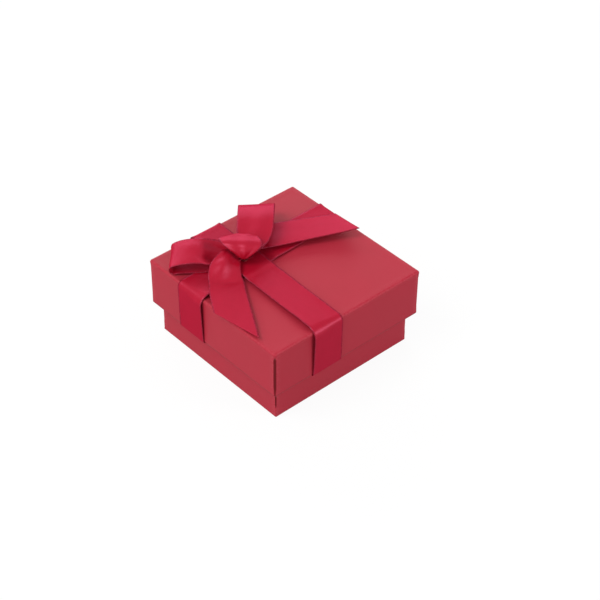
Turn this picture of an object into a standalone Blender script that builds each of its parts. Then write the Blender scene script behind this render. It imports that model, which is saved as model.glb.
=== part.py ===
"""Ring gift box: a paper-covered tray, a foam ring pad and a lift-off lid with ribbon and bow.

Metres, +Z up. The origin is the middle of the tray's underside, -Y is the front wall and
-X the left wall. Each body's pieces hang from an empty on the line along which it lifts.
"""

import math

import bmesh
import bpy
import numpy as np
from mathutils import Matrix

# Box sizes
lid_side = 0.052
lid_depth = 0.0147
closed_height = 0.0247
board_thickness = 0.0010
paper_thickness = 0.00015
glue_line = 0.00008
stay_thickness = 0.0001
rest_gap = 0.0003

# Folds, seams and turned-in paper
edge_radius = 0.0009
rim_radius = 0.0003
seam_width = 0.0003
seam_start = 0.0016
board_joint_width = 0.0002
lid_turn_in = 0.0080
tray_turn_in = 0.0110
stay_leg = 0.0060
cut_overrun = 0.0010

# Ribbon
ribbon_width = 0.0100
ribbon_thickness = 0.0002
ribbon_turn_in = 0.0045
ribbon_running_gap = 0.00018
long_band_offset = -0.0071
long_band_slope = 0.029
cross_band_offset = 0.0084
cross_band_slope = 0.022
cross_band_lift = 0.0006
cross_band_stand_off = 0.0004
cross_band_bend = 0.0020
cross_band_settle = 0.0050
overlap_ramp = 0.0020

# Bow
bow_height = 0.0070
loop_reach = 0.0200
front_tail_reach = 0.0330
right_tail_reach = 0.0343
front_tail_cut = math.radians(45)
right_tail_cut = math.radians(-24)
left_loop_heading = math.radians(147)
back_loop_heading = math.radians(48)
front_tail_heading = math.radians(238)
right_tail_heading = math.radians(-23)
knot_length = 0.0118
knot_depth = 0.0072
knot_height = 0.0062
knot_rise = 0.0043
knot_heading = math.radians(-42)
knot_end_share = 0.74
knot_front_share = 0.80
knot_gap = 0.0003
glue_dot_width = 0.0050

# Ring pad
pad_thickness = 0.0130
pad_clearance = 0.0003
pad_crown = 0.0006
pad_draw_in = 0.0004
velvet_thickness = 0.0005
slit_length = 0.0220
slit_width = 0.0012
slit_depth = 0.0090

# Sizes that follow from those above
paper_stack = paper_thickness + glue_line
skin_depth = paper_stack + stay_thickness + glue_line
wall_thickness = skin_depth + board_thickness + paper_stack
lid_opening = lid_side - 2 * wall_thickness
slip_gap = glue_line + ribbon_thickness + ribbon_running_gap
tray_side = lid_opening - 2 * slip_gap
tray_opening = tray_side - 2 * wall_thickness
lid_roof = skin_depth + board_thickness + paper_stack
tray_height = closed_height - lid_roof - rest_gap
tray_floor = skin_depth + board_thickness
pad_side = tray_opening - 2 * pad_clearance
pad_seat = tray_floor + rest_gap
lid_half = lid_side / 2
lining_clearance = paper_stack
knot_place = (long_band_offset, cross_band_offset)

# Each station of a ribbon: along, aside, rise, width, roll, yaw, crown. Along is a share of the
# reach, aside, width and crown of the ribbon's width, rise of the bow's height, and the two
# turns are degrees.
left_loop_shares = (
    (0.125, -0.05, 0.44, 0.44, 0, 0, 0.03),
    (0.300, -0.09, 0.46, 0.68, 0, -4, 0.04),
    (0.500, -0.10, 0.53, 0.92, -3, -8, 0.05),
    (0.700, -0.11, 0.55, 1.00, -5, -12, 0.03),
    (0.880, -0.12, 0.49, 1.00, -5, -14, 0.01),
    (0.990, -0.12, 0.35, 1.00, -4, -14, 0.00),
    (0.960, -0.12, 0.22, 1.00, -2, -12, 0.00),
    (0.800, -0.18, 0.18, 1.00, 0, -6, 0.00),
    (0.550, -0.26, 0.18, 0.90, 0, 0, 0.00),
    (0.300, -0.18, 0.21, 0.62, 0, 0, 0.00),
    (0.100, -0.05, 0.31, 0.36, 0, 0, 0.00),
)
back_loop_shares = (
    (0.075, -0.15, 0.55, 0.60, 0, 0, 0.06),
    (0.200, -0.22, 0.70, 0.85, 0, 0, 0.07),
    (0.375, -0.27, 0.77, 0.97, 0, 3, 0.04),
    (0.600, -0.28, 0.79, 1.00, 0, 5, 0.01),
    (0.825, -0.28, 0.70, 1.00, 0, 5, 0.00),
    (0.970, -0.28, 0.52, 1.00, 0, 5, 0.00),
    (0.950, -0.28, 0.36, 1.00, 0, 4, 0.00),
    (0.800, -0.26, 0.32, 1.00, 0, 2, 0.00),
    (0.525, -0.22, 0.34, 0.95, 0, 0, 0.00),
    (0.300, -0.16, 0.38, 0.75, 0, 0, 0.00),
    (0.100, -0.08, 0.42, 0.50, 0, 0, 0.00),
)
front_tail_shares = (
    (0.030, -0.12, 0.56, 0.38, 0, 30, 0.05),
    (0.085, -0.29, 0.66, 0.50, 0, 28, 0.08),
    (0.167, -0.49, 0.70, 0.68, 0, 15, 0.10),
    (0.258, -0.60, 0.58, 0.84, 0, 5, 0.09),
    (0.348, -0.63, 0.36, 0.94, 0, 0, 0.05),
    (0.485, -0.61, 0.24, 1.00, 0, 0, 0.02),
    (0.697, -0.56, 0.14, 1.00, 0, 0, 0.00),
    (1.000, -0.50, 0.16, 1.00, 0, 0, 0.00),
)
right_tail_shares = (
    (0.030, 0.12, 0.30, 0.50, 0, 0, 0.04),
    (0.100, 0.34, 0.26, 0.74, 0, 0, 0.03),
    (0.190, 0.49, 0.18, 0.94, 0, 0, 0.02),
    (0.350, 0.53, 0.16, 1.00, 0, 0, 0.00),
    (0.583, 0.53, 0.17, 1.00, 0, 0, 0.00),
    (0.816, 0.50, 0.22, 1.00, 0, 0, 0.00),
    (1.000, 0.47, 0.28, 1.00, 0, 0, 0.00),
)

# Finishes, as linear colours
paper_red = (0.479, 0.046, 0.070)
ribbon_red = (0.515, 0.022, 0.052)
board_grey = (0.40, 0.37, 0.33)
stay_buff = (0.56, 0.42, 0.27)
foam_black = (0.020, 0.020, 0.022)
velvet_black = (0.008, 0.008, 0.009)
lining_white = (0.80, 0.79, 0.77)
glue_amber = (0.70, 0.62, 0.45)


def clear_scene():
    for item in list(bpy.data.objects):
        bpy.data.objects.remove(item, do_unlink=True)


def new_collection(name, hidden=False):
    collection = bpy.data.collections.new(name)
    collection.hide_render = hidden
    bpy.context.scene.collection.children.link(collection)
    return collection


def make_finish(name, colour, roughness):
    finish = bpy.data.materials.new(name)
    finish.use_nodes = True
    shader = finish.node_tree.nodes["Principled BSDF"]
    shader.inputs["Base Color"].default_value = (*colour, 1)
    shader.inputs["Roughness"].default_value = roughness
    shader.inputs["Metallic"].default_value = 0
    return finish


def make_body(name, height):
    """An empty on the line along which the body lifts."""
    body = bpy.data.objects.new(name, None)
    body.location = (0, 0, height)
    box_parts.objects.link(body)
    return body


def add_piece(name, surface, body, finish, smooth=False):
    """An object from a bmesh whose points are measured from its body's empty."""
    mesh = bpy.data.meshes.new(name)
    surface.to_mesh(mesh)
    surface.free()
    mesh.materials.append(finish)
    piece = bpy.data.objects.new(name, mesh)
    piece.parent = body
    box_parts.objects.link(piece)
    if smooth:
        mesh.shade_smooth()
    return piece


def thicken(piece, thickness, side):
    """Gives a sheet its thickness: side -1 behind its faces, 1 in front of them, 0 both ways."""
    wall = piece.modifiers.new("thickness", "SOLIDIFY")
    wall.thickness = thickness
    wall.offset = side
    wall.use_even_offset = True


def cut_with(piece, cutter):
    cut = piece.modifiers.new("cut", "BOOLEAN")
    cut.operation = "DIFFERENCE"
    cut.solver = "EXACT"
    cut.object = cutter


def box_bmesh(size, centre):
    block = bmesh.new()
    bmesh.ops.create_cube(block, size=1)
    bmesh.ops.transform(
        block,
        matrix=Matrix.Translation(centre) @ Matrix.Diagonal((*size, 1)),
        verts=block.verts,
    )
    return block


def add_cutter(name, block, body, turn=0):
    mesh = bpy.data.meshes.new(name)
    block.to_mesh(mesh)
    block.free()
    cutter = bpy.data.objects.new(name, mesh)
    cutter.parent = body
    cutter.rotation_euler.z = turn
    cutter.hide_render = True
    cutter.display_type = "WIRE"
    cutters.objects.link(cutter)
    return cutter


def open_box(side, low, high, radius, opens_up, round_steps=3):
    """The outside of a box without its top or bottom face, its other edges rounded."""
    height = high - low
    box = box_bmesh((side, side, height), (0, 0, low + height / 2))
    opening = high if opens_up else low
    missing = max(
        box.faces,
        key=lambda face: -abs(face.calc_center_median().z - opening),
    )
    bmesh.ops.delete(box, geom=[missing], context="FACES_ONLY")
    folds = [edge for edge in box.edges if len(edge.link_faces) == 2]
    bmesh.ops.bevel(
        box,
        geom=folds,
        offset=radius,
        segments=round_steps,
        profile=0.5,
        affect="EDGES",
    )
    return box


def rim_of(box):
    return [edge for edge in box.edges if edge.is_boundary]


def carry_rim(box, rim, spread, rise):
    """Carries the open rim on to a new place, and returns its new edges."""
    grown = bmesh.ops.extrude_edge_only(box, edges=rim)["geom"]
    points = [item for item in grown if isinstance(item, bmesh.types.BMVert)]
    bmesh.ops.scale(box, vec=(spread, spread, 1), verts=points)
    bmesh.ops.translate(box, vec=(0, 0, rise), verts=points)
    return [item for item in grown if isinstance(item, bmesh.types.BMEdge) and item.is_boundary]


def paper_surface(side, opening, low, high, opens_up, turn_in):
    """The covering paper's outer face: over the box, round its rim and down inside."""
    paper = open_box(side, low, high, edge_radius, opens_up)
    inward = -1 if opens_up else 1
    outer_rim = rim_of(paper)
    inner_rim = carry_rim(paper, outer_rim, opening / side, 0)
    carry_rim(paper, inner_rim, 1, inward * turn_in)
    bmesh.ops.bevel(
        paper,
        geom=outer_rim + inner_rim,
        offset=rim_radius,
        segments=2,
        profile=0.5,
        affect="EDGES",
    )
    bmesh.ops.recalc_face_normals(paper, faces=paper.faces)
    return paper


def cut_corner_joints(piece, side, low, high, width, body):
    """Opens the four upright corners, where the walls of a folded blank only meet."""
    reach = 2 * (wall_thickness + cut_overrun)
    middle = math.hypot(side, side) / 2
    size = (2 * (reach + edge_radius), width, high - low)
    for corner in range(4):
        turn = math.radians(45 + 90 * corner)
        block = box_bmesh(size, (middle, 0, (low + high) / 2))
        cutter = add_cutter(f"{piece.name}_joint_{corner}", block, body, turn)
        cut_with(piece, cutter)


def corner_name(across, deep):
    return ("back" if deep > 0 else "front") + "_" + ("right" if across > 0 else "left")


def sheet_bmesh(rows):
    """A grid of faces whose points are rows[along, across]."""
    along, across = rows.shape[:2]
    sheet = bmesh.new()
    bmesh.ops.create_grid(sheet, x_segments=along - 1, y_segments=across - 1, size=1)
    for point in sheet.verts:
        i = round((point.co.x + 1) / 2 * (along - 1))
        j = round((point.co.y + 1) / 2 * (across - 1))
        point.co = rows[i, j]
    return sheet


def rounded_path(points, radii, arc_steps=3):
    """A flat path through the points with its corners turned into arcs, as (n, 2)."""
    points = np.array(points, float)
    path = [points[0]]
    for before, corner, after, radius in zip(points, points[1:], points[2:], radii):
        back = (before - corner) / np.linalg.norm(before - corner)
        ahead = (after - corner) / np.linalg.norm(after - corner)
        opening = math.acos(np.clip(back @ ahead, -1, 1))
        if radius == 0:
            path.append(corner)
            continue
        middle = back + ahead
        centre = corner + middle / np.linalg.norm(middle) * radius / math.sin(opening / 2)
        first = corner + back * radius / math.tan(opening / 2) - centre
        last = corner + ahead * radius / math.tan(opening / 2) - centre
        for step in range(arc_steps + 1):
            share = step / arc_steps
            spoke = first * (1 - share) + last * share
            path.append(centre + spoke / np.linalg.norm(spoke) * radius)
    path.append(points[-1])
    return np.array(path)


def add_corner_stays(box_name, side, low, high, body, finish):
    """Strips of tape folded round the board's four corners, under the covering paper."""
    face = side / 2 - paper_stack - stay_thickness
    radius = edge_radius - paper_stack - stay_thickness
    leg = face - stay_leg
    path = rounded_path([(leg, face), (face, face), (face, leg)], [radius])
    for across in (-1, 1):
        for deep in (-1, 1):
            rows = np.zeros((len(path), 2, 3))
            rows[:, :, 0] = across * path[:, :1]
            rows[:, :, 1] = deep * path[:, 1:]
            rows[:, :, 2] = (low, high) if across * deep > 0 else (high, low)
            name = f"{box_name}_corner_stay_{corner_name(across, deep)}"
            stay = add_piece(name, sheet_bmesh(rows), body, finish)
            thicken(stay, stay_thickness, -1)


def add_board(name, side, low, high, opens_up, body, finish):
    """A folded blank of board: five panels, hollowed from a block with rounded outer folds."""
    block = open_box(side, low, high, edge_radius - skin_depth, opens_up)
    bmesh.ops.edgeloop_fill(block, edges=rim_of(block))
    bmesh.ops.recalc_face_normals(block, faces=block.faces)
    board = add_piece(name, block, body, finish)
    bottom = low + board_thickness if opens_up else low - cut_overrun
    top = high + cut_overrun if opens_up else high - board_thickness
    room_side = side - 2 * board_thickness
    size = (room_side, room_side, top - bottom)
    room = add_cutter(f"{name}_room", box_bmesh(size, (0, 0, (bottom + top) / 2)), body)
    cut_with(board, room)
    return board


def make_tray(body, board, paper, tape):
    """The folded board tray, the tape at its corners and the red paper over both."""
    low, high = skin_depth, tray_height - paper_stack
    board_side = tray_side - 2 * skin_depth
    tray_board = add_board("tray_board", board_side, low, high, True, body, board)
    cut_corner_joints(
        tray_board, tray_side, tray_floor, high + cut_overrun, board_joint_width, body
    )
    add_corner_stays("tray", tray_side, tray_floor, high - rim_radius, body, tape)
    tray_wrap = add_piece(
        "tray_wrap",
        paper_surface(tray_side, tray_opening, 0, tray_height, True, tray_turn_in),
        body,
        paper,
    )
    thicken(tray_wrap, paper_thickness, -1)
    cut_corner_joints(
        tray_wrap, tray_side, seam_start, tray_height + cut_overrun, seam_width, body
    )


def crown_at(x, y, side, height):
    """A pillow's rise: nought along its edges and full in the middle."""
    across = 1 - (2 * x / side) ** 2
    deep = 1 - (2 * y / side) ** 2
    return height * max(across, 0) * max(deep, 0)


def make_ring_pad(body, foam, velvet, cuts=8):
    """The foam block that fills the tray and the flocked cloth on it, slit for the ring."""
    block = box_bmesh((pad_side, pad_side, pad_thickness), (0, 0, pad_thickness / 2))
    bmesh.ops.subdivide_edges(block, edges=block.edges, cuts=cuts, use_grid_fill=True)
    for point in block.verts:
        x, y, z = point.co
        waist = math.sin(math.pi * z / pad_thickness)
        draw = 1 - 2 * pad_draw_in * waist / pad_side
        point.co.x = x * draw
        point.co.y = y * draw
        if z > pad_thickness - pad_draw_in:
            point.co.z += crown_at(x, y, pad_side, pad_crown)
    foam_block = add_piece("ring_pad_foam", block, body, foam)

    span = np.linspace(-pad_side / 2, pad_side / 2, cuts + 2)
    x, y = np.meshgrid(span, span, indexing="ij")
    rise = np.vectorize(crown_at)(x, y, pad_side, pad_crown)
    rows = np.stack([x, y, rise + pad_thickness + glue_line], axis=-1)
    facing = add_piece("ring_pad_velvet", sheet_bmesh(rows), body, velvet)
    thicken(facing, velvet_thickness, 1)

    top = pad_thickness + pad_crown + glue_line + velvet_thickness + cut_overrun
    bottom = pad_thickness - slit_depth
    size = (slit_length, slit_width, top - bottom)
    cutter = add_cutter("ring_slit", box_bmesh(size, (0, 0, (top + bottom) / 2)), body)
    cut_with(foam_block, cutter)
    cut_with(facing, cutter)


def make_lid(body, board, paper, tape, lining):
    """The lid's board, corner tape, red paper and inside lining, measured from its top."""
    low, high = -lid_depth + paper_stack, -skin_depth
    board_side = lid_side - 2 * skin_depth
    lid_board = add_board("lid_board", board_side, low, high, False, body, board)
    ceiling = high - board_thickness
    cut_corner_joints(
        lid_board, lid_side, low - cut_overrun, ceiling, board_joint_width, body
    )
    add_corner_stays("lid", lid_side, low + rim_radius, ceiling, body, tape)
    lid_wrap = add_piece(
        "lid_wrap",
        paper_surface(lid_side, lid_opening, -lid_depth, 0, False, lid_turn_in),
        body,
        paper,
    )
    thicken(lid_wrap, paper_thickness, -1)
    cut_corner_joints(
        lid_wrap, lid_side, -lid_depth - cut_overrun, -seam_start, seam_width, body
    )
    lining_side = lid_opening - 2 * lining_clearance
    middle = ceiling - glue_line - paper_thickness / 2
    sheet = box_bmesh((lining_side, lining_side, paper_thickness), (0, 0, middle))
    add_piece("lid_lining", sheet, body, lining)


def band_side(sign, bend, top, wall):
    """One end of a band, from the top of the lid down its wall and round under the rim."""
    inside = lid_opening / 2 - glue_line
    outside = lid_half + glue_line
    under = -lid_depth - glue_line
    turn = rim_radius + glue_line
    points = [
        (sign * (outside + wall), top),
        (sign * outside, -cross_band_settle),
        (sign * outside, under),
        (sign * inside, under),
        (sign * inside, -lid_depth + ribbon_turn_in),
    ]
    return points, [bend, 0, turn, turn]


def band_rows(path, offset, slope, runs_deep):
    """The band's underside: the path drawn out to the ribbon's width, a little aslant."""
    run, rise = path[:, :1], path[:, 1:]
    edges = np.array([[-ribbon_width / 2, ribbon_width / 2]])
    edges = edges * np.ones_like(run)
    aside = offset + slope * np.clip(run, -lid_half, lid_half) + edges
    run = run * np.ones_like(aside)
    rise = rise * np.ones_like(aside)
    order = (aside, run, rise) if runs_deep else (run, aside, rise)
    return np.stack(order, axis=-1)


def add_band(name, left, middle, right, offset, slope, runs_deep, body, ribbon):
    left_points, left_radii = left
    right_points, right_radii = right
    points = left_points[::-1] + middle + right_points
    radii = left_radii[::-1] + [0] * len(middle) + right_radii
    path = rounded_path(points, radii)
    rows = band_rows(path, offset, slope, runs_deep)
    band = add_piece(name, sheet_bmesh(rows), body, ribbon)
    thicken(band, ribbon_thickness, -1 if runs_deep else 1)


def make_bands(body, ribbon):
    """The two ribbons across the lid; the long band rides over the cross band."""
    flat_bend = edge_radius + glue_line
    over = 2 * glue_line + ribbon_thickness
    half = ribbon_width / 2 + cross_band_slope * lid_half
    climb = [
        (cross_band_offset - half - overlap_ramp, glue_line),
        (cross_band_offset - half, over),
        (cross_band_offset + half, over),
        (cross_band_offset + half + overlap_ramp, glue_line),
    ]
    add_band(
        "ribbon_long_band",
        band_side(-1, flat_bend, glue_line, 0),
        climb,
        band_side(1, flat_bend, glue_line, 0),
        long_band_offset,
        long_band_slope,
        True,
        body,
        ribbon,
    )
    half = ribbon_width / 2 + long_band_slope * lid_half
    settle = [
        (long_band_offset - half - overlap_ramp, glue_line + cross_band_lift),
        (long_band_offset - half, glue_line),
    ]
    add_band(
        "ribbon_cross_band",
        band_side(-1, cross_band_bend, glue_line + cross_band_lift, cross_band_stand_off),
        settle,
        band_side(1, flat_bend, glue_line, 0),
        cross_band_offset,
        cross_band_slope,
        False,
        body,
        ribbon,
    )


def smooth_stations(stations, count):
    """Evenly spaced places on a smooth curve through the stations."""
    stations = np.array(stations, float)
    first = 2 * stations[0] - stations[1]
    last = 2 * stations[-1] - stations[-2]
    ends = np.vstack([first, stations, last])
    spans = len(stations) - 1

    def at(place):
        start = np.minimum(place.astype(int), spans - 1)
        t = (place - start)[:, None]
        a, b, c, d = (ends[start + step] for step in range(4))
        return (
            2 * b
            + (c - a) * t
            + (2 * a - 5 * b + 4 * c - d) * t**2
            + (3 * b - a - 3 * c + d) * t**3
        ) / 2

    fine = np.linspace(0, spans, 20 * count)
    steps = np.linalg.norm(np.diff(at(fine)[:, :3], axis=0), axis=1)
    travelled = np.concatenate([[0], np.cumsum(steps)])
    even = np.linspace(0, travelled[-1], count)
    return at(np.interp(even, travelled, fine)), travelled[-1]


def ribbon_rows(shares, reach, heading, end_cut=0, along=26, across=6):
    """A bow ribbon's middle surface: a smooth route, its width turned and crowned as it goes."""
    scales = np.array([reach, ribbon_width, bow_height, ribbon_width / 2, 1, 1, ribbon_width])
    stations = np.array(shares, float) * scales
    route, length = smooth_stations(stations, along)
    forward = np.array([math.cos(heading), math.sin(heading), 0])
    aside = np.array([-math.sin(heading), math.cos(heading), 0])
    middle = route[:, :1] * forward + route[:, 1:2] * aside
    middle[:, :2] += knot_place
    middle[:, 2] += route[:, 2]
    tangent = np.gradient(middle, axis=0)
    tangent /= np.linalg.norm(tangent, axis=1, keepdims=True)
    roll = np.radians(route[:, 4:5])
    yaw = np.radians(route[:, 5:6])
    level = aside * np.cos(yaw) - forward * np.sin(yaw)
    level = level - tangent * (level * tangent).sum(axis=1, keepdims=True)
    level /= np.linalg.norm(level, axis=1, keepdims=True)
    width = level * np.cos(roll) + np.cross(tangent, level) * np.sin(roll)
    normal = np.cross(tangent, width)
    share = np.linspace(-1, 1, across + 1)
    half = route[:, 3][:, None, None]
    crown = route[:, 6][:, None, None] * (1 - share[None, :, None] ** 2)
    rows = middle[:, None] + width[:, None] * half * share[None, :, None]
    rows = rows + normal[:, None] * crown
    if end_cut:
        slant = math.tan(end_cut) * ribbon_width / 2
        rows = trimmed(rows, length, abs(slant) - slant * share)
    return rows


def trimmed(rows, length, shorter):
    """Shortens each lengthwise line of the ribbon by its own amount, for a slanting end."""
    count = len(rows)
    places = np.arange(count)
    cut = np.empty_like(rows)
    for j, amount in enumerate(shorter):
        wanted = np.linspace(0, (count - 1) * (1 - amount / length), count)
        for axis in range(3):
            cut[:, j, axis] = np.interp(wanted, places, rows[:, j, axis])
    return cut


def knot_surface(gap):
    """A coarse cage that subdivision rounds into a barrel, drawn in at its ends and its front."""
    grow = 2 * gap
    cage = box_bmesh((knot_length + grow, knot_depth + grow, knot_height + grow), (0, 0, 0))
    bmesh.ops.subdivide_edges(cage, edges=cage.edges, cuts=1, use_grid_fill=True)
    for point in cage.verts:
        at_end = abs(point.co.x) > knot_length / 4
        in_front = point.co.y < -knot_depth / 4
        if at_end:
            point.co.y *= knot_end_share
            point.co.z *= knot_end_share
        if at_end and in_front:
            point.co.x *= knot_front_share
    return cage


def soften(piece):
    rounding = piece.modifiers.new("soft form", "SUBSURF")
    rounding.levels = 2
    rounding.render_levels = 2


def place_on_knot(piece):
    piece.location = (*knot_place, knot_rise)
    piece.rotation_euler.z = knot_heading


def make_bow(body, ribbon, glue):
    """Two loops and two tails gathered under the knot, which a dot of glue holds down."""
    knot = add_piece("bow_knot", knot_surface(0), body, ribbon, smooth=True)
    soften(knot)
    place_on_knot(knot)
    cutter = add_cutter("knot_room", knot_surface(knot_gap), body)
    soften(cutter)
    place_on_knot(cutter)
    ribbons = (
        ("bow_loop_left", left_loop_shares, loop_reach, left_loop_heading, 0, 34),
        ("bow_loop_back", back_loop_shares, loop_reach, back_loop_heading, 0, 34),
        (
            "bow_tail_front",
            front_tail_shares,
            front_tail_reach,
            front_tail_heading,
            front_tail_cut,
            28,
        ),
        (
            "bow_tail_right",
            right_tail_shares,
            right_tail_reach,
            right_tail_heading,
            right_tail_cut,
            22,
        ),
    )
    for name, shares, reach, heading, end_cut, steps in ribbons:
        rows = ribbon_rows(shares, reach, heading, end_cut, steps)
        strip = add_piece(name, sheet_bmesh(rows), body, ribbon, smooth=True)
        thicken(strip, ribbon_thickness, 0)
        cut_with(strip, cutter)

    floor = 3 * glue_line + 2 * ribbon_thickness
    roof = knot_rise - knot_height / 2 - glue_line
    dot = bmesh.new()
    bmesh.ops.create_uvsphere(dot, u_segments=16, v_segments=8, radius=0.5)
    size = (glue_dot_width, glue_dot_width, roof - floor, 1)
    bmesh.ops.transform(dot, matrix=Matrix.Diagonal(size), verts=dot.verts)
    glue_dot = add_piece("bow_glue_dot", dot, body, glue, smooth=True)
    glue_dot.location = (*knot_place, (floor + roof) / 2)


clear_scene()
box_parts = new_collection("ring_gift_box")
cutters = new_collection("cutters", hidden=True)

red_paper = make_finish("red_paper", paper_red, 0.62)
satin_ribbon = make_finish("satin_ribbon", ribbon_red, 0.38)
grey_board = make_finish("grey_board", board_grey, 0.9)
corner_tape = make_finish("corner_tape", stay_buff, 0.8)
pad_foam = make_finish("pad_foam", foam_black, 0.95)
pad_velvet = make_finish("pad_velvet", velvet_black, 0.9)
white_lining = make_finish("white_lining", lining_white, 0.8)
clear_glue = make_finish("clear_glue", glue_amber, 0.4)

tray = make_body("tray", 0)
ring_pad = make_body("ring_pad", pad_seat)
lid = make_body("lid", closed_height)

make_tray(tray, grey_board, red_paper, corner_tape)
make_ring_pad(ring_pad, pad_foam, pad_velvet)
make_lid(lid, grey_board, red_paper, corner_tape, white_lining)
make_bands(lid, satin_ribbon)
make_bow(lid, satin_ribbon, clear_glue)
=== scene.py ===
# %% [markdown]
# # A ring gift box with a ribbon bow
# The real box is two open boxes of grey board, one turned over the other as its lid. Red paper
# covers both, two satin ribbons cross on the lid, and a small bow is stuck where they cross. It
# could all be modelled from nothing. The measured solids are loaded first instead, because they
# fix every size and every way the box moves. This file gives them the surfaces that the eye sees.

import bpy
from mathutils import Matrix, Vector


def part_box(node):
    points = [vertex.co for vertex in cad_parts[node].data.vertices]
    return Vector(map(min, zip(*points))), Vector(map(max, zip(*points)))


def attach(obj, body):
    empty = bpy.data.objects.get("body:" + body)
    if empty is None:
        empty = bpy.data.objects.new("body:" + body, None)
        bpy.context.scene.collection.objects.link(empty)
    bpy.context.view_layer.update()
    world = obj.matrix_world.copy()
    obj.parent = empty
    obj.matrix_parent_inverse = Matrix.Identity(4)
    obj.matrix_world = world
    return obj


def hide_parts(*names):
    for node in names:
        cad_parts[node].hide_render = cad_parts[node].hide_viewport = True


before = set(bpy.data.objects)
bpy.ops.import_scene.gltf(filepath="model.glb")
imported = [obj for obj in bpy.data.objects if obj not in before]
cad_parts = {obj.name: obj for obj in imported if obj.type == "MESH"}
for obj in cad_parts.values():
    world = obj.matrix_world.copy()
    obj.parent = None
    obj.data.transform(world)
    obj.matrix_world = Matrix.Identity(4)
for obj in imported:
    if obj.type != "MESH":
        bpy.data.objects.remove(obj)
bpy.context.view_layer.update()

# %% [markdown]
# Blender's own modules come next, with numpy for the surfaces. Every length is in metres. The
# sizes of the box are read from the measured nodes, so the looks follow them.

# %% Sizes read from the measured nodes
import math

import bmesh
import bpy
import numpy as np
from mathutils import Matrix, Vector


def box_of(node):
    """A measured node's lowest and highest corner."""
    return [np.array(corner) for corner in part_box(node)]


lid_low, lid_high = box_of("lid_wrap")
tray_low, tray_high = box_of("tray_wrap")
foam_low, foam_high = box_of("ring_pad_foam")
velvet_high = box_of("ring_pad_velvet")[1]
lid_top, lid_half, lid_depth = lid_high[2], lid_high[0], lid_high[2] - lid_low[2]
tray_half, tray_height = tray_high[0], tray_high[2] - tray_low[2]
print(f"lid {2 * lid_half:.4f} m square and {lid_depth:.4f} m deep, closed height {lid_top:.4f} m")

# %% [markdown]
# ## Shader maths
# A finish is a small sum of noises, stripes and masks. Written with nodes by hand, such a sum
# is long and hard to read. So one class wraps a node's socket, and Python's own signs add the
# Math nodes.

# %% A socket that takes part in Python sums
def math_node(operation, swapped=False):
    """A method that adds one Math node, fed by the socket and by the values given with it."""

    def method(self, *others):
        values = (*others, self) if swapped else (self, *others)
        return self.tree.add("ShaderNodeMath", {"operation": operation}, dict(enumerate(values)))

    return method


class Flow:
    """A number or a colour on its way between two nodes."""

    def __init__(self, tree, socket):
        self.tree = tree
        self.socket = socket

    __add__ = __radd__ = math_node("ADD")
    __mul__ = __rmul__ = math_node("MULTIPLY")
    __sub__, __rsub__ = math_node("SUBTRACT"), math_node("SUBTRACT", swapped=True)
    __gt__ = math_node("GREATER_THAN")
    or_more, or_less = math_node("MAXIMUM"), math_node("MINIMUM")
    wave, size = math_node("SINE"), math_node("ABSOLUTE")

    def at_most_one(self):
        return self.or_less(1.0).or_more(0.0)


class Tree:
    """The nodes of a material or of the sky."""

    def __init__(self, node_tree):
        self.nodes = node_tree.nodes
        self.links = node_tree.links

    def add(self, kind, settings=None, values=None, output=0):
        """Any node: its settings first, then the values or links of its sockets."""
        node = self.nodes.new(kind)
        for key, value in (settings or {}).items():
            setattr(node, key, value)
        for key, value in (values or {}).items():
            if isinstance(value, Flow):
                self.links.new(value.socket, node.inputs[key])
            else:
                node.inputs[key].default_value = value
        return Flow(self, node.outputs[output])


print("a socket can be summed")

# %% [markdown]
# Nearly every finish here is Blender's all-round Principled shader with a few of its sockets
# fed by sums. The same nodes could be placed one by one in the Shader Editor, but a class that
# names each step makes a finish readable as a short list.

# %% A finish
def spaced(constants):
    """Socket names with their spaces, which keywords can't hold."""
    return {key.replace("_", " "): value for key, value in constants.items()}


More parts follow.
